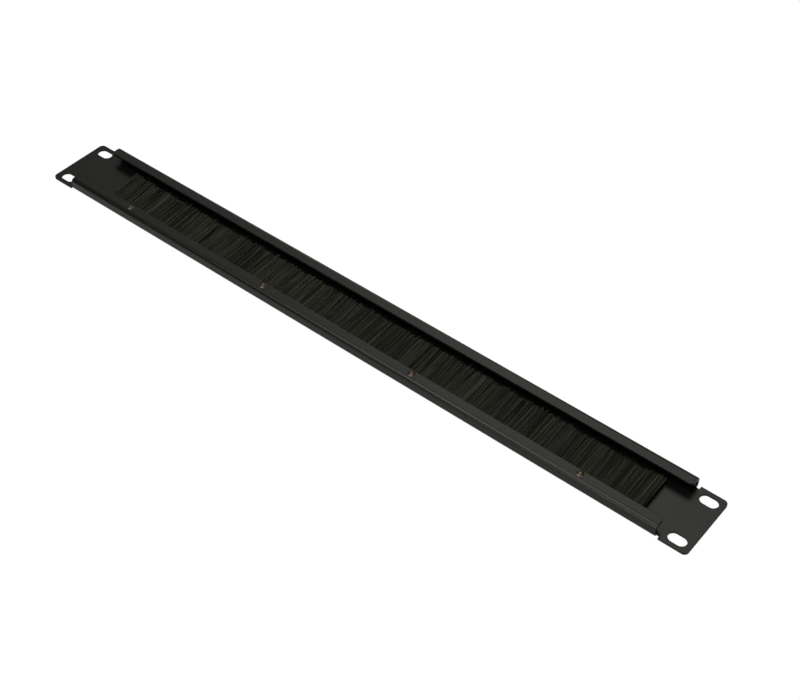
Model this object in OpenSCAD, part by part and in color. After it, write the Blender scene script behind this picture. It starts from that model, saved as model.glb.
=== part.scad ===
// Brush strip panel for a 19-inch rack, one unit high, lying on its front face.
// X runs along the panel, Y across it and Z from the front face to the rear.
// The origin is the centre of the front face. The brush strip is riveted under
// the rear lip on the -Y side, and its bristles close the cable window.

/* [Panel] */
// Width over both ears
panel_w = 482.6; // [460:0.1:520]
// Height of the face
panel_h = 43.6; // [42:0.1:60]
// Thickness of the sheet steel
sheet_t = 1.5; // [1:0.1:1.6]
// Depth from the front face to the back of the lips
channel_d = 8.6; // [8.4:0.1:14]
// Width of each lip, from the outside of its flange to its free edge
lip_w = 7.6; // [7.5:0.1:10]
// Outside radius of the folds
fold_r = 2.5; // [2:0.1:3]
// Radius on the free corners of the lips
lip_corner_r = 1.8; // [0.5:0.1:3]

/* [Ears and rack slots] */
// Length of each ear, from the panel's end to its relief notch
ear_l = 17.1; // [15:0.1:25]
// Radius on the outer corners of the ears
ear_corner_r = 2.8; // [0.5:0.1:4]
// Length of the relief notch between an ear and its flange
notch_l = 1.9; // [1:0.1:4]
// Depth of the relief notch, in from the panel's edge
notch_d = 2.1; // [1:0.1:4]
// End-to-end length of a rack slot
slot_l = 11; // [8:0.1:12]
// Width of a rack slot
slot_w = 7; // [5:0.1:7.5]
// From the panel's end to the centre of its slots
slot_end_inset = 8.75; // [7:0.05:10]
// From the panel's long edge to the centre of its slots
slot_edge_inset = 5.925; // [5:0.025:8]

/* [Cable window] */
// Height of the window in the face
window_h = 18; // [10:0.5:20]
// Solid face between the end of a flange and the window
window_land = 37.3; // [30:0.1:60]
// Radius in the window's corners
window_corner_r = 3; // [1:0.1:5]

/* [Brush strip] */
// Depth of the strip's channel, from its closed back to its mouth
strip_w = 5.6; // [5.5:0.1:6]
// Height of the strip's channel
strip_h = 4.2; // [3.6:0.1:4.2]
// Thickness of the channel's steel
strip_t = 0.6; // [0.4:0.1:0.7]
// Outside radius of the channel's back corners
strip_fold_r = 1; // [0.8:0.1:1.2]
// Clear height of the channel's mouth
mouth_h = 2.2; // [1.6:0.1:2.4]
// Length of the crimped edges at the mouth
crimp_l = 0.9; // [0.5:0.1:1]
// Room between the closed back and the panel's flange
strip_gap = 0.2; // [0.1:0.1:0.5]
// How far the strip runs past each end of the window
strip_cover = 16; // [8:0.5:20]
// Sideways place of the strip in the panel
strip_shift = 7.7; // [-10:0.1:10]
// Diameter of the core wire that the bristles are folded round
wire_d = 0.8; // [0.6:0.1:0.9]

/* [Bristles] */
// How far the tips reach past the far edge of the window
tip_overlap = 0.6; // [0:0.1:2]
// Spacing of the tufts along the strip
tuft_pitch = 2.8; // [2.4:0.1:5]
// Gap between tufts at the mouth
tuft_gap = 0.3; // [0.25:0.05:0.6]
// How much narrower a tuft is at its tip
tuft_taper = 0.4; // [0.35:0.05:1]
// Most that one tuft is longer or shorter than the next
tip_ragged = 0.8; // [0:0.1:1.5]
// Length that the tufts gain towards the ends of the strip
end_length = 2; // [0:0.1:3]
// Sideways lean of the tips over the whole strip
lean = 1.2; // [0:0.1:3]
// Lean that is added at the strip's -X end
end_lean = 2.8; // [0:0.1:3]

/* [Rivets] */
// Number of rivets along the strip
rivet_count = 4; // [3:1:6]
// From the end of a flange to the first rivet
rivet_end_inset = 50.25; // [40:0.05:60]
// Diameter of the rivet's body
rivet_d = 2.4; // [2:0.1:2.4]
// Diameter of the rivet's head
rivet_head_d = 4.6; // [4:0.1:4.6]
// Height of the domed head
rivet_head_h = 0.7; // [0.5:0.1:1]
// Diameter of the dish in the head, round the broken stem
head_dish_d = 2.4; // [1.8:0.1:2.6]
// Diameter of the mandrel's stem
mandrel_d = 1.3; // [1:0.05:1.4]
// Height of the upset on the blind side
upset_h = 1.1; // [0.9:0.1:1.1]

/* [Hidden] */
$fn = 48;

steel_black = [0.14, 0.14, 0.135];
strip_black = [0.1, 0.1, 0.1];
wire_grey = [0.55, 0.56, 0.57];
bristle_black = [0.06, 0.06, 0.06];
rivet_brown = [0.26, 0.21, 0.18];
mandrel_grey = [0.35, 0.34, 0.33];

eps = 0.01;
fit_gap = 0.05;   // round parts that sit in a drilled hole
slack = 0.1;      // bristles inside their channel

flange_l = panel_w - 2 * (ear_l + notch_l);
window_l = flange_l - 2 * window_land;
lip_edge_y = panel_h / 2 - lip_w;
lip_z = channel_d - sheet_t;

strip_l = window_l + 2 * strip_cover;
inner_fold_r = fold_r - sheet_t;
strip_back_y = sheet_t + strip_gap + max(0, inner_fold_r - strip_fold_r) - panel_h / 2;
strip_mouth_y = strip_back_y + strip_w;
strip_z = lip_z - strip_h / 2;
wire_wrap = 0.25; // bristles behind the core wire
wire_y = strip_back_y + strip_t + slack + wire_wrap + wire_d / 2;
wire_bore_d = wire_d + 2 * fit_gap;

rivet_wall = 0.25; // bristles between the core wire and a rivet
rivet_hole_d = rivet_d + 2 * fit_gap;
rivet_y = wire_y + wire_bore_d / 2 + rivet_wall + rivet_hole_d / 2;
rivet_pitch = (flange_l - 2 * rivet_end_inset) / (rivet_count - 1);
upset_d = rivet_d + 1;
stem_recess = 0.4; // broken stem below the top of the head

mat_t = mouth_h - slack;
layer_gap = 0.1;
layer_t = (mat_t - layer_gap) / 2;
tuft_count = floor(strip_l / tuft_pitch);
tuft_step = strip_l / tuft_count;
bristle_l = window_h / 2 + tip_overlap - strip_mouth_y;
end_reach = 8;        // how far from an end its longer tufts are found
lean_reach = 40;      // how far from the -X end its added lean is found
sway = 0.5;           // slow wave in the lean
sway_length = 97;
stray_lean = 0.1;     // chance lean of one tuft

// Rectangle centred on the origin with round corners.
module rounded_rect(l, h, r) {
    square([l - 2 * r, h], center = true);
    square([l, h - 2 * r], center = true);
    for (sx = [-1, 1], sy = [-1, 1])
        translate([sx * (l / 2 - r), sy * (h / 2 - r)]) circle(r);
}

// Draws its children, given in the YZ plane, as a bar along X.
module along_x(l) {
    rotate([90, 0, 90]) linear_extrude(l, center = true) children();
}

// Puts its children at each rivet's centre line.
module at_rivets() {
    for (i = [0 : rivet_count - 1])
        translate([(i - (rivet_count - 1) / 2) * rivet_pitch, rivet_y, 0]) children();
}

// Section of the folded face, flanges and lips.
module fold_section() {
    mid_z = channel_d / 2;
    difference() {
        translate([0, mid_z]) rounded_rect(panel_h, channel_d, fold_r);
        translate([0, mid_z])
            rounded_rect(panel_h - 2 * sheet_t, channel_d - 2 * sheet_t, inner_fold_r);
        translate([-lip_edge_y, mid_z]) square([2 * lip_edge_y, channel_d]);
    }
}

// Flat face that runs into both ears.
module face_outline() {
    ear_x = panel_w / 2 - ear_l;
    square([panel_w - 2 * ear_l + 2 * eps, panel_h - 2 * notch_d], center = true);
    intersection() {
        rounded_rect(panel_w, panel_h, ear_corner_r);
        for (side = [0, 180]) rotate(side) translate([ear_x, -panel_h / 2]) square([ear_l, panel_h]);
    }
}

module rack_slot() {
    run = slot_l - slot_w;
    cut_h = sheet_t + 2 * eps;
    translate([0, 0, -eps]) {
        translate([-run / 2, -slot_w / 2, 0]) cube([run, slot_w, cut_h]);
        for (side = [-1, 1]) translate([side * run / 2, 0, 0]) cylinder(h = cut_h, d = slot_w);
    }
}

// What is cut from the free corner of a lip to round it, with the corner at the origin.
module corner_cut() {
    difference() {
        translate([-lip_corner_r, -eps]) square([lip_corner_r + eps, lip_corner_r + eps]);
        translate([-lip_corner_r, lip_corner_r]) circle(lip_corner_r);
    }
}

// One sheet, cut and folded: face with ears, two flanges and two lips.
module panel() {
    color(steel_black)
    difference() {
        union() {
            along_x(flange_l) fold_section();
            linear_extrude(sheet_t) face_outline();
        }
        for (sx = [-1, 1], sy = [-1, 1])
            translate([sx * (panel_w / 2 - slot_end_inset), sy * (panel_h / 2 - slot_edge_inset), 0])
                rack_slot();
        translate([0, 0, -eps]) linear_extrude(sheet_t + 2 * eps)
            rounded_rect(window_l, window_h, window_corner_r);
        for (sx = [0, 1], sy = [0, 1]) mirror([sx, 0, 0]) mirror([0, sy, 0])
            translate([flange_l / 2, lip_edge_y, lip_z - eps])
                linear_extrude(sheet_t + 2 * eps) corner_cut();
        at_rivets() translate([0, 0, lip_z - eps]) cylinder(h = sheet_t + 2 * eps, d = rivet_hole_d);
    }
}

// Outline of the strip's channel from its back to its mouth, taken in by a wall.
module strip_outline(wall, reach) {
    back = strip_back_y + wall;
    half = strip_h / 2 - wall;
    mouth = mouth_h / 2 + strip_t - wall;
    crimp_y = strip_mouth_y - crimp_l;
    r = strip_fold_r - wall;
    translate([0, strip_z]) {
        translate([back, r - half]) square([crimp_y - back, 2 * (half - r)]);
        translate([back + r, -half]) square([crimp_y - back - r, 2 * half]);
        for (side = [-1, 1]) translate([back + r, side * (half - r)]) circle(r);
        polygon([[crimp_y - eps, -half], [crimp_y, -half], [strip_mouth_y, -mouth],
            [strip_mouth_y + reach, -mouth], [strip_mouth_y + reach, mouth],
            [strip_mouth_y, mouth], [crimp_y, half], [crimp_y - eps, half]]);
    }
}

// U-shaped steel channel, crimped on to the bristles.
module brush_channel() {
    color(strip_black)
    difference() {
        translate([strip_shift, 0, 0]) along_x(strip_l) difference() {
            strip_outline(0, 0);
            strip_outline(strip_t, 1);
        }
        at_rivets() translate([0, 0, strip_z - strip_h]) cylinder(h = 2 * strip_h, d = rivet_hole_d);
    }
}

// Wire that locks the folded bristles in the channel.
module core_wire() {
    color(wire_grey)
    translate([strip_shift, wire_y, strip_z]) rotate([0, 90, 0])
        cylinder(h = strip_l, d = wire_d, center = true);
}

// Sideways travel of a tip that starts at x.
function tip_lean(x) =
    -lean - end_lean * exp(-(x - strip_shift + strip_l / 2) / lean_reach)
    + sway * sin(360 * x / sway_length);

// Length of a tuft that starts at x.
function tuft_length(x, chance) =
    bristle_l + chance + end_length * exp(-(strip_l / 2 - abs(x - strip_shift)) / end_reach);

// One layer of tufts, each a flat leaning bundle with a slanted, pointed tip.
module tuft_layer(offset_x, seed) {
    chance = rands(-1, 1, 3 * (tuft_count + 1), seed);
    root_y = strip_mouth_y - crimp_l;
    root_half = (tuft_step - tuft_gap) / 2;
    tip_half = root_half - tuft_taper / 2;
    for (i = [0 : tuft_count - 1]) {
        x = strip_shift - strip_l / 2 + (i + 0.5) * tuft_step + offset_x;
        length = tuft_length(x, tip_ragged * chance[3 * i]);
        tip_x = x + tip_lean(x) + stray_lean * chance[3 * i + 1];
        peak_x = tip_x + tip_half * 0.8 * chance[3 * i + 2];
        tip_y = strip_mouth_y + length;
        linear_extrude(layer_t) polygon([[x - root_half, root_y], [x + root_half, root_y],
            [tip_x + tip_half, tip_y - tip_half], [peak_x, tip_y], [tip_x - tip_half, tip_y - tip_half]]);
    }
}

// Bristles folded round the wire: a packed root in the channel and two layers of tufts.
module bristles() {
    stagger = tuft_step / 4;
    color(bristle_black)
    difference() {
        union() {
            translate([strip_shift, 0, 0]) along_x(strip_l) strip_outline(strip_t + slack, slack);
            translate([0, 0, strip_z + layer_gap / 2]) tuft_layer(-stagger, 11);
            translate([0, 0, strip_z - layer_gap / 2 - layer_t]) tuft_layer(stagger, 23);
        }
        translate([strip_shift, wire_y, strip_z]) rotate([0, 90, 0])
            cylinder(h = strip_l + 2, d = wire_bore_d, center = true);
        at_rivets() translate([0, 0, strip_z - strip_h]) cylinder(h = 2 * strip_h, d = rivet_hole_d);
    }
}

// Hollow rivets: domed head with a dished middle on the lip, body through lip and
// strip, upset below the strip.
module rivet_bodies() {
    strip_under_z = lip_z - strip_h;
    dome_r = (pow(rivet_head_d / 2, 2) + pow(rivet_head_h, 2)) / (2 * rivet_head_h);
    bore_d = mandrel_d + 2 * fit_gap;
    dish_rim_z = channel_d + rivet_head_h - dome_r + sqrt(pow(dome_r, 2) - pow(head_dish_d / 2, 2));
    dish_z = dish_rim_z - (head_dish_d - bore_d) / 2;
    color(rivet_brown)
    at_rivets() difference() {
        union() {
            intersection() {
                translate([0, 0, channel_d + rivet_head_h - dome_r]) sphere(dome_r);
                translate([0, 0, channel_d]) cylinder(h = rivet_head_h + 1, d = rivet_head_d);
            }
            translate([0, 0, strip_under_z - eps])
                cylinder(h = channel_d - strip_under_z + 2 * eps, d = rivet_d);
            translate([0, 0, strip_under_z - upset_h]) cylinder(h = upset_h, d = upset_d);
        }
        translate([0, 0, strip_under_z - upset_h - 1])
            cylinder(h = channel_d + rivet_head_h + 2, d = bore_d);
        translate([0, 0, strip_under_z - upset_h - eps])
            cylinder(h = upset_h / 2 + fit_gap, d1 = rivet_d + 2 * fit_gap, d2 = bore_d);
        translate([0, 0, dish_z])
            cylinder(h = rivet_head_h + 1, d1 = bore_d, d2 = bore_d + 2 * (rivet_head_h + 1));
    }
}

// Steel stems left in the rivets, broken off just below the top of the head.
module rivet_mandrels() {
    bottom_z = lip_z - strip_h - upset_h;
    stem_top_z = channel_d + rivet_head_h - stem_recess;
    color(mandrel_grey)
    at_rivets() {
        translate([0, 0, bottom_z]) cylinder(h = stem_top_z - bottom_z, d = mandrel_d);
        translate([0, 0, bottom_z]) cylinder(h = upset_h / 2, d1 = rivet_d, d2 = mandrel_d);
    }
}

panel();
brush_channel();
core_wire();
bristles();
rivet_bodies();
rivet_mandrels();
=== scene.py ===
# Rack brush strip panel: a folded black steel face with a riveted brush strip.
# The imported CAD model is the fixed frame. Everything is in metres.
import math

import bpy
from mathutils import Matrix, Vector


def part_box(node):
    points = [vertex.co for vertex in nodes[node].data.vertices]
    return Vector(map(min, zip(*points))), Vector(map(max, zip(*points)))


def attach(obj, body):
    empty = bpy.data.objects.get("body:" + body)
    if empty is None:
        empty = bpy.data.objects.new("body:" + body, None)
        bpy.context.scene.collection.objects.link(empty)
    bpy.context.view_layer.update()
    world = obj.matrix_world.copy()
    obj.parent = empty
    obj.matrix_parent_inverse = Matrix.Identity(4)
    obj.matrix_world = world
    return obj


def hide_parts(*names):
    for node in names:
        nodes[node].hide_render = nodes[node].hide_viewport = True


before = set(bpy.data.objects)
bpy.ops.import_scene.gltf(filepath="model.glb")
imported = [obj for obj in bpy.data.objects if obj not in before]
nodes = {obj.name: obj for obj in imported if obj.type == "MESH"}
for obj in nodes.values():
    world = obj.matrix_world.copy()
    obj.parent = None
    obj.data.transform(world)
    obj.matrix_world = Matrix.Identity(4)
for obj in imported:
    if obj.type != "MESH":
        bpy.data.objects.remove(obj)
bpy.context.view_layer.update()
mm = 0.001

# ---------------------------------------------------------------- camera
# A long lens looks down on the rear of the panel from beyond its +X end.
aim = Vector((35.3, 0, 0)) * mm
azimuth, elevation, roll = (math.radians(a) for a in (39.01, 45.75, 0.22))
distance = 830.6 * mm
toward_camera = Vector(
    (
        math.sin(azimuth) * math.cos(elevation),
        -math.cos(azimuth) * math.cos(elevation),
        math.sin(elevation),
    )
)
camera_data = bpy.data.cameras.new("camera")
camera_data.lens = 64.19
camera_data.sensor_width = 36
camera_data.sensor_fit = "HORIZONTAL"
camera_data.clip_start = 0.01
camera_data.clip_end = 200
camera = bpy.data.objects.new("camera", camera_data)
bpy.context.scene.collection.objects.link(camera)
facing = toward_camera.to_track_quat("Z", "Y").to_matrix().to_4x4()
camera.matrix_world = (
    Matrix.Translation(aim + toward_camera * distance) @ facing @ Matrix.Rotation(roll, 4, "Z")
)
bpy.context.scene.camera = camera
bpy.context.scene.view_settings.view_transform = "Standard"

# ---------------------------------------------------------------- floor and light
# A pale studio floor, which glows white to the camera, a little in reflections,
# and keeps a trace of the panel's shadow. It reaches past every low view.
floor_reach = 60
floor_gap = 0.05 * mm
floor_mesh = bpy.data.meshes.new("floor")
floor_mesh.from_pydata(
    [(sx * floor_reach, sy * floor_reach, 0) for sx, sy in ((-1, -1), (1, -1), (1, 1), (-1, 1))],
    [],
    [(0, 1, 2, 3)],
)
floor = bpy.data.objects.new("floor", floor_mesh)
floor.location.z = -floor_gap
bpy.context.scene.collection.objects.link(floor)

floor_paint = bpy.data.materials.new("studio_floor")
floor_paint.use_nodes = True
tree = floor_paint.node_tree
tree.nodes.clear()
seen = tree.nodes.new("ShaderNodeLightPath")
paint = tree.nodes.new("ShaderNodeBsdfDiffuse")
paint.inputs["Color"].default_value = (0.6, 0.6, 0.6, 1)
glow = tree.nodes.new("ShaderNodeEmission")
glow.inputs["Strength"].default_value = 1.07
mix = tree.nodes.new("ShaderNodeMixShader")
output = tree.nodes.new("ShaderNodeOutputMaterial")
glow_share = None
glow_shares = {"Is Camera Ray": 0.9, "Is Transmission Ray": 0.9, "Is Glossy Ray": 0.15}
for kind, share in glow_shares.items():
    weighted = tree.nodes.new("ShaderNodeMath")
    weighted.operation = "MULTIPLY_ADD"
    weighted.inputs[1].default_value = share
    weighted.inputs[2].default_value = 0
    tree.links.new(seen.outputs[kind], weighted.inputs[0])
    if glow_share:
        tree.links.new(glow_share, weighted.inputs[2])
    glow_share = weighted.outputs[0]
tree.links.new(glow_share, mix.inputs["Fac"])
tree.links.new(paint.outputs[0], mix.inputs[1])
tree.links.new(glow.outputs[0], mix.inputs[2])
tree.links.new(mix.outputs[0], output.inputs["Surface"])
floor_mesh.materials.append(floor_paint)

# Two soft boxes hang over the panel and face straight down. The others stand
# round it and face it, the fill where the camera meets no reflection of it.
lamp_colour = (1, 1, 0.92)
lamps = (
    ("overhead", (-0.25, -0.5, 1.5), (1.2, 1.3), 15),
    ("far_overhead", (-0.35, 1.05, 1.5), (1.2, 0.8), 6.5),
    ("low_left", (-1.4, 0.95, 1.3), (0.7, 0.7), 1),
    ("far_low", (-0.9, 1.5, 0.8), (0.7, 0.5), 2.6),
    ("low_near", (0.0, -1.7, 0.45), (0.8, 0.5), 10),
    ("half_high", (-0.6, -0.75, 1.3), (0.5, 0.5), 3),
    ("fill", (1.4, -0.1, 1.1), (0.8, 0.8), 6),
)
for name, stand, size, watts in lamps:
    lamp = bpy.data.lights.new(name, "AREA")
    lamp.shape = "RECTANGLE"
    lamp.size, lamp.size_y = size
    lamp.energy = watts
    lamp.color = lamp_colour
    holder = bpy.data.objects.new(name, lamp)
    holder.location = stand
    if "overhead" not in name:
        holder.rotation_euler = Vector(stand).to_track_quat("Z", "Y").to_euler()
    bpy.context.scene.collection.objects.link(holder)

# The room beyond the floor is dim, and white only to the camera and through glass.
world = bpy.data.worlds.new("studio")
bpy.context.scene.world = world
world.use_nodes = True
tree = world.node_tree
tree.nodes.clear()
seen = tree.nodes.new("ShaderNodeLightPath")
seen_through = tree.nodes.new("ShaderNodeMath")
seen_through.operation = "MAXIMUM"
room = tree.nodes.new("ShaderNodeBackground")
room.inputs["Color"].default_value = (0.04, 0.04, 0.04, 1)
white = tree.nodes.new("ShaderNodeBackground")
mix = tree.nodes.new("ShaderNodeMixShader")
output = tree.nodes.new("ShaderNodeOutputWorld")
tree.links.new(seen.outputs["Is Camera Ray"], seen_through.inputs[0])
tree.links.new(seen.outputs["Is Transmission Ray"], seen_through.inputs[1])
tree.links.new(seen_through.outputs[0], mix.inputs["Fac"])
tree.links.new(room.outputs[0], mix.inputs[1])
tree.links.new(white.outputs[0], mix.inputs[2])
tree.links.new(mix.outputs[0], output.inputs["Surface"])

# ---------------------------------------------------------------- folded panel
# One sheet of steel, cut, folded and powder coated satin black. The coat has a
# fine grain over a slight orange peel, and rounds the cut edges a little.
coat = bpy.data.materials.new("satin_powder_coat")
coat.use_nodes = True
tree = coat.node_tree
shader = tree.nodes["Principled BSDF"]
shader.inputs["Base Color"].default_value = (0.002, 0.002, 0.002, 1)
shader.inputs["IOR"].default_value = 1.5
shader.inputs["Specular IOR Level"].default_value = 0.3
place = tree.nodes.new("ShaderNodeTexCoord")
edge = tree.nodes.new("ShaderNodeBevel")
edge.samples = 8
edge.inputs["Radius"].default_value = 0.4 * mm
grain = tree.nodes.new("ShaderNodeTexNoise")
grain.inputs["Scale"].default_value = 2200
grain.inputs["Detail"].default_value = 2
peel = tree.nodes.new("ShaderNodeTexNoise")
peel.inputs["Scale"].default_value = 420
peel.inputs["Detail"].default_value = 1
grain_bump = tree.nodes.new("ShaderNodeBump")
grain_bump.inputs["Strength"].default_value = 0.12
grain_bump.inputs["Distance"].default_value = 0.05 * mm
peel_bump = tree.nodes.new("ShaderNodeBump")
peel_bump.inputs["Strength"].default_value = 0.15
peel_bump.inputs["Distance"].default_value = 0.05 * mm
cloud = tree.nodes.new("ShaderNodeTexNoise")
cloud.inputs["Scale"].default_value = 25
cloud.inputs["Detail"].default_value = 3
sheen = tree.nodes.new("ShaderNodeMapRange")
sheen.inputs["To Min"].default_value = 0.3
sheen.inputs["To Max"].default_value = 0.36
for noise in (grain, peel, cloud):
    tree.links.new(place.outputs["Object"], noise.inputs["Vector"])
tree.links.new(edge.outputs["Normal"], peel_bump.inputs["Normal"])
tree.links.new(peel.outputs["Fac"], peel_bump.inputs["Height"])
tree.links.new(peel_bump.outputs["Normal"], grain_bump.inputs["Normal"])
tree.links.new(grain.outputs["Fac"], grain_bump.inputs["Height"])
tree.links.new(grain_bump.outputs["Normal"], shader.inputs["Normal"])
tree.links.new(cloud.outputs["Fac"], sheen.inputs["Value"])
tree.links.new(sheen.outputs["Result"], shader.inputs["Roughness"])


def dress(node, finish):
    """Gives a piece of the CAD model its finish."""
    nodes[node].data.materials.clear()
    nodes[node].data.materials.append(finish)


dress("panel", coat)

# ---------------------------------------------------------------- strip channel and core wire
# The bristles are folded round a drawn wire and crimped in a lacquered steel
# channel, which the rivets hold under the lip.
lacquer = bpy.data.materials.new("black_lacquer")
lacquer.use_nodes = True
tree = lacquer.node_tree
shader = tree.nodes["Principled BSDF"]
shader.inputs["Base Color"].default_value = (0.008, 0.008, 0.008, 1)
place = tree.nodes.new("ShaderNodeTexCoord")
draw_lines = tree.nodes.new("ShaderNodeMapping")
draw_lines.inputs["Scale"].default_value = (20, 1500, 1500)
streaks = tree.nodes.new("ShaderNodeTexNoise")
streaks.inputs["Scale"].default_value = 1
rough = tree.nodes.new("ShaderNodeMapRange")
rough.inputs["To Min"].default_value = 0.35
rough.inputs["To Max"].default_value = 0.55
tree.links.new(place.outputs["Object"], draw_lines.inputs["Vector"])
tree.links.new(draw_lines.outputs["Vector"], streaks.inputs["Vector"])
tree.links.new(streaks.outputs["Fac"], rough.inputs["Value"])
tree.links.new(rough.outputs["Result"], shader.inputs["Roughness"])
dress("brush_channel", lacquer)

wire_steel = lacquer.copy()
wire_steel.name = "drawn_wire"
shader = wire_steel.node_tree.nodes["Principled BSDF"]
shader.inputs["Base Color"].default_value = (0.4, 0.4, 0.41, 1)
shader.inputs["Metallic"].default_value = 1
dress("core_wire", wire_steel)

# ---------------------------------------------------------------- bristles
# Black nylon filaments, 0.25 to 0.3 mm thick, folded in half round the core wire,
# so that they leave the channel as an upper and a lower half. They gather into
# tufts and bunches, lean a little towards -X and end in a ragged line.
low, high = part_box("brush_channel")
strip_middle_z = (low.z + high.z) / 2
half_thickness = 1.0 * mm
half_gap = 0.05 * mm
root_depth = 0.5 * mm
tuft_width = 1.2 * mm
bunch_width = 8 * mm
bristle_inputs = {
    "Strip Start": ("NodeSocketFloat", low.x),
    "Strip Length": ("NodeSocketFloat", high.x - low.x),
    "Root Y": ("NodeSocketFloat", high.y - root_depth),
    "Half Bottom": ("NodeSocketFloat", strip_middle_z + half_gap),
    "Half Thickness": ("NodeSocketFloat", half_thickness),
    "Filament Radius": ("NodeSocketFloat", 0.125 * mm),
    "Filament Length": ("NodeSocketFloat", 24.2 * mm),
    "Ragged": ("NodeSocketFloat", 0.9 * mm),
    "Splay": ("NodeSocketFloat", 1.0),
    "Count": ("NodeSocketInt", 9600),
    "Seed": ("NodeSocketInt", 20),
}
tree = bpy.data.node_groups.new("bristle_half", "GeometryNodeTree")
tree.interface.new_socket("Geometry", in_out="OUTPUT", socket_type="NodeSocketGeometry")
socket_ids = {}
for label, (kind, value) in bristle_inputs.items():
    socket = tree.interface.new_socket(label, in_out="INPUT", socket_type=kind)
    socket.default_value = value
    socket_ids[label] = socket.identifier
given = tree.nodes.new("NodeGroupInput").outputs
made = tree.nodes.new("NodeGroupOutput")


def compute(operation, a, b=None):
    """Adds a Math node on two numbers or sockets and returns its output."""
    step = tree.nodes.new("ShaderNodeMath")
    step.operation = operation
    for index, value in enumerate((a, b)):
        if isinstance(value, (int, float)):
            step.inputs[index].default_value = value
        elif value is not None:
            tree.links.new(value, step.inputs[index])
    return step.outputs[0]


def total(*values):
    """The sum of any count of numbers and sockets."""
    result = values[0]
    for value in values[1:]:
        result = compute("ADD", result, value)
    return result


def times(a, b):
    return compute("MULTIPLY", a, b)


def less(a, b):
    return compute("SUBTRACT", a, b)


def vector(x=0.0, y=0.0, z=0.0):
    """Three numbers or sockets as one vector."""
    joined = tree.nodes.new("ShaderNodeCombineXYZ")
    for index, value in enumerate((x, y, z)):
        if isinstance(value, (int, float)):
            joined.inputs[index].default_value = value
        else:
            tree.links.new(value, joined.inputs[index])
    return joined.outputs[0]


def place_of():
    """X, Y and Z of each point."""
    split = tree.nodes.new("ShaderNodeSeparateXYZ")
    tree.links.new(tree.nodes.new("GeometryNodeInputPosition").outputs[0], split.inputs[0])
    return split.outputs


def chance(reach, draw):
    """A fixed random number from -reach to reach for each filament. Each draw is another one."""
    random = tree.nodes.new("FunctionNodeRandomValue")
    random.data_type = "FLOAT"
    sockets = {s.name: s for s in random.inputs if s.enabled}
    sockets["Min"].default_value = -reach
    sockets["Max"].default_value = reach
    tree.links.new(total(given["Seed"], draw), sockets["Seed"])
    return [s for s in random.outputs if s.enabled][0]


def store(geometry, value, name):
    """Stores a value on the points under a name and returns the new geometry."""
    kept = tree.nodes.new("GeometryNodeStoreNamedAttribute")
    kept.data_type = "FLOAT"
    kept.inputs["Name"].default_value = name
    tree.links.new(geometry, kept.inputs["Geometry"])
    tree.links.new(value, [s for s in kept.inputs if s.name == "Value" and s.enabled][0])
    return kept.outputs["Geometry"]


def stored(name):
    """Reads a value that store() kept."""
    read = tree.nodes.new("GeometryNodeInputNamedAttribute")
    read.data_type = "FLOAT"
    read.inputs["Name"].default_value = name
    return [s for s in read.outputs if s.enabled][0]


def tufts(x, width, shift):
    """Uneven tufts along X: the way to a tuft's middle, and two numbers from -1 to 1 of its own.

    The shift keeps one pattern of tufts apart from another.
    """
    seed_shift = 7.3
    cell = tree.nodes.new("ShaderNodeTexVoronoi")
    cell.voronoi_dimensions = "1D"
    cell.inputs["Scale"].default_value = 1
    along_strip = total(times(x, 1 / width), times(given["Seed"], seed_shift), shift)
    tree.links.new(along_strip, cell.inputs["W"])
    split = tree.nodes.new("FunctionNodeSeparateColor")
    tree.links.new(cell.outputs["Color"], split.inputs["Color"])
    to_middle = times(less(cell.outputs["W"], along_strip), width)
    numbers = [total(times(split.outputs[index], 2), -1) for index in (0, 1)]
    return to_middle, numbers[0], numbers[1]


# Root points, spread at random along the strip and through the half.
line = tree.nodes.new("GeometryNodeMeshLine")
tree.links.new(given["Count"], line.inputs["Count"])
rooted = tree.nodes.new("GeometryNodeSetPosition")
spot_x = times(total(chance(0.5, 1), 0.5), given["Strip Length"])
spot_z = times(total(chance(0.5, 2), 0.5), given["Half Thickness"])
spot = vector(total(given["Strip Start"], spot_x), given["Root Y"], total(given["Half Bottom"], spot_z))
tree.links.new(line.outputs["Mesh"], rooted.inputs["Geometry"])
tree.links.new(spot, rooted.inputs["Position"])
root_x = place_of()["X"]
tuft_middle, tuft_a, tuft_b = tufts(root_x, tuft_width, 40)
bunch_middle, bunch_a, bunch_b = tufts(root_x, bunch_width, 90)

# Length: ragged, longer at both ends of the strip, with some that stick out a
# little and a few strays.
end_reach = 7 * mm
end_extra = 2.2 * mm
tuft_step = 0.4 * mm
bunch_step = 0.3 * mm
spike_length = 2 * mm
spike_rarity = 14
stray_length = 3 * mm
stray_rarity = 300
from_start = less(root_x, given["Strip Start"])
to_end = less(given["Strip Length"], from_start)
near_end = compute("EXPONENT", times(compute("MINIMUM", from_start, to_end), -1 / end_reach))
spike = times(compute("POWER", total(chance(0.5, 9), 0.5), spike_rarity), spike_length)
stray = times(compute("POWER", total(chance(0.5, 3), 0.5), stray_rarity), stray_length)
length = total(
    given["Filament Length"],
    times(near_end, end_extra),
    times(chance(1, 4), given["Ragged"]),
    times(tuft_a, tuft_step),
    times(bunch_a, bunch_step),
    spike,
    stray,
)

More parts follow.
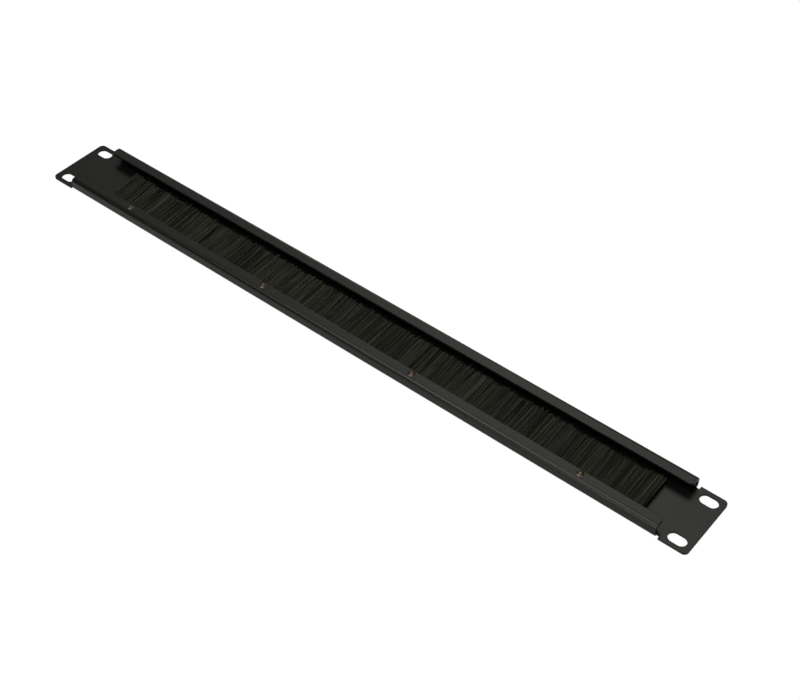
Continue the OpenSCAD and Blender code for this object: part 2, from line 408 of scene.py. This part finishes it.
# Sideways travel of the tip: the strip's own lean, which is stronger at its
# start, a slow sway along it, and then how the tufts gather and part.
lean_all = -1.2 * mm
lean_at_start = -2.8 * mm
lean_reach = 40 * mm
sway_length = 97 * mm
sway_width = 0.5 * mm
tuft_gather = 0.25
bunch_gather = 0.05
tuft_turn = 0.45 * mm
bunch_turn = 0.6 * mm
loose_tip = 0.35 * mm
near_start = compute("EXPONENT", times(from_start, -1 / lean_reach))
lean = total(lean_all, times(near_start, lean_at_start))
sway = times(compute("SINE", times(root_x, 2 * math.pi / sway_length)), sway_width)
gather = total(times(tuft_middle, tuft_gather), times(bunch_middle, bunch_gather))
splay = total(gather, times(tuft_b, tuft_turn), times(bunch_b, bunch_turn))
travel = total(lean, sway, times(splay, given["Splay"]), chance(loose_tip, 5))

# How far the tip rises, and a painted highlight: how much paler each filament's colour is made,
# standing in for the glints that tufts catch as they face the lamps at different angles.
rise = total(times(tuft_a, 0.3 * mm), times(bunch_a, 0.25 * mm), chance(0.2 * mm, 6))
shade = total(times(tuft_b, 0.35), times(bunch_b, 0.2), chance(0.6, 7))
points = rooted.outputs["Geometry"]
for value, name in ((length, "length"), (travel, "travel"), (rise, "rise"), (shade, "shade")):
    points = store(points, value, name)

# One filament, three sided, laid along Y from its root, then copied to each root.
filament = tree.nodes.new("GeometryNodeMeshCylinder")
filament.fill_type = "NGON"
filament.inputs["Vertices"].default_value = 3
filament.inputs["Side Segments"].default_value = 3
filament.inputs["Radius"].default_value = 1
filament.inputs["Depth"].default_value = 1
laid = tree.nodes.new("GeometryNodeTransform")
laid.inputs["Translation"].default_value = (0, 0.5, 0)
laid.inputs["Rotation"].default_value = (-math.pi / 2, 0, 0)
tree.links.new(filament.outputs["Mesh"], laid.inputs["Geometry"])
copies = tree.nodes.new("GeometryNodeInstanceOnPoints")
tree.links.new(points, copies.inputs["Points"])
measured = store(laid.outputs["Geometry"], place_of()["Y"], "along")
tree.links.new(measured, copies.inputs["Instance"])
size = vector(given["Filament Radius"], stored("length"), given["Filament Radius"])
tree.links.new(size, copies.inputs["Scale"])
tree.links.new(vector(y=chance(math.pi, 8)), copies.inputs["Rotation"])
real = tree.nodes.new("GeometryNodeRealizeInstances")
tree.links.new(copies.outputs["Instances"], real.inputs["Geometry"])

# Every filament bends more and more towards its tip.
bend_power = 1.3
bent = tree.nodes.new("GeometryNodeSetPosition")
bend = compute("POWER", stored("along"), bend_power)
drift = vector(x=times(stored("travel"), bend), z=times(stored("rise"), bend))
tree.links.new(real.outputs["Geometry"], bent.inputs["Geometry"])
tree.links.new(drift, bent.inputs["Offset"])
nylon = bpy.data.materials.new("black_nylon")
dressed = tree.nodes.new("GeometryNodeSetMaterial")
dressed.inputs["Material"].default_value = nylon
tree.links.new(bent.outputs["Geometry"], dressed.inputs["Geometry"])
tree.links.new(dressed.outputs["Geometry"], made.inputs["Geometry"])

# Painted highlight: each filament's colour runs from black to a soft olive grey, standing in for the
# sheen that tufts catch as they face the light differently.
nylon.use_nodes = True
shader = nylon.node_tree.nodes["Principled BSDF"]
shader.inputs["Roughness"].default_value = 0.42
shader.inputs["IOR"].default_value = 1.5
shader.inputs["Specular IOR Level"].default_value = 0.3
painted_highlight_input = nylon.node_tree.nodes.new("ShaderNodeAttribute")
painted_highlight_input.attribute_name = "shade"
painted_highlight_range = nylon.node_tree.nodes.new("ShaderNodeMapRange")
painted_highlight_range.inputs["From Min"].default_value = -1
painted_highlight_range.inputs["From Max"].default_value = 1
colour = nylon.node_tree.nodes.new("ShaderNodeMix")
colour.data_type = "RGBA"
colour.inputs["A"].default_value = (0.003, 0.003, 0.002, 1)
colour.inputs["B"].default_value = (0.026, 0.027, 0.017, 1)
nylon.node_tree.links.new(painted_highlight_input.outputs["Fac"], painted_highlight_range.inputs["Value"])
nylon.node_tree.links.new(painted_highlight_range.outputs["Result"], colour.inputs["Factor"])
nylon.node_tree.links.new(colour.outputs["Result"], shader.inputs["Base Color"])

# The upper half takes the values above. The lower half lies straighter, with
# thicker filaments, and closes the gaps that the upper half leaves.
halves = {
    "bristles_lower": {
        "Half Bottom": strip_middle_z - half_gap - half_thickness,
        "Filament Radius": 0.15 * mm,
        "Splay": 0.1,
        "Seed": 12,
    },
    "bristles_upper": {},
}
for name, own_values in halves.items():
    source = bpy.data.objects.new(name, bpy.data.meshes.new(name))
    bpy.context.scene.collection.objects.link(source)
    modifier = source.modifiers.new(name, "NODES")
    modifier.node_group = tree
    for label, (kind, value) in bristle_inputs.items():
        modifier[socket_ids[label]] = own_values.get(label, value)
    evaluated = source.evaluated_get(bpy.context.evaluated_depsgraph_get())
    half_mesh = bpy.data.meshes.new_from_object(evaluated)
    bpy.data.objects.remove(source)
    half_mesh.name = name
    half = bpy.data.objects.new(name, half_mesh)
    bpy.context.scene.collection.objects.link(half)
    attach(half, "root")
    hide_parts("bristles")

# ---------------------------------------------------------------- rivets
# Blind rivets with browned domed heads. The steel stem that set each one is
# left in its bore, broken off just below the top of the head.
browned = bpy.data.materials.new("browned_rivet")
browned.use_nodes = True
tree = browned.node_tree
shader = tree.nodes["Principled BSDF"]
shader.inputs["Metallic"].default_value = 0.9
place = tree.nodes.new("ShaderNodeTexCoord")
wear = tree.nodes.new("ShaderNodeTexNoise")
wear.inputs["Scale"].default_value = 900
colour = tree.nodes.new("ShaderNodeMix")
colour.data_type = "RGBA"
colour.inputs["A"].default_value = (0.035, 0.026, 0.021, 1)
colour.inputs["B"].default_value = (0.12, 0.088, 0.07, 1)
rough = tree.nodes.new("ShaderNodeMapRange")
rough.inputs["To Min"].default_value = 0.3
rough.inputs["To Max"].default_value = 0.5
tree.links.new(place.outputs["Object"], wear.inputs["Vector"])
tree.links.new(wear.outputs["Fac"], colour.inputs["Factor"])
tree.links.new(wear.outputs["Fac"], rough.inputs["Value"])
tree.links.new(colour.outputs["Result"], shader.inputs["Base Color"])
tree.links.new(rough.outputs["Result"], shader.inputs["Roughness"])
dress("rivet_bodies", browned)

stem_steel = browned.copy()
stem_steel.name = "broken_stem"
colour = [n for n in stem_steel.node_tree.nodes if n.bl_idname == "ShaderNodeMix"][0]
colour.inputs["A"].default_value = (0.09, 0.085, 0.075, 1)
colour.inputs["B"].default_value = (0.18, 0.17, 0.15, 1)
dress("rivet_mandrels", stem_steel)
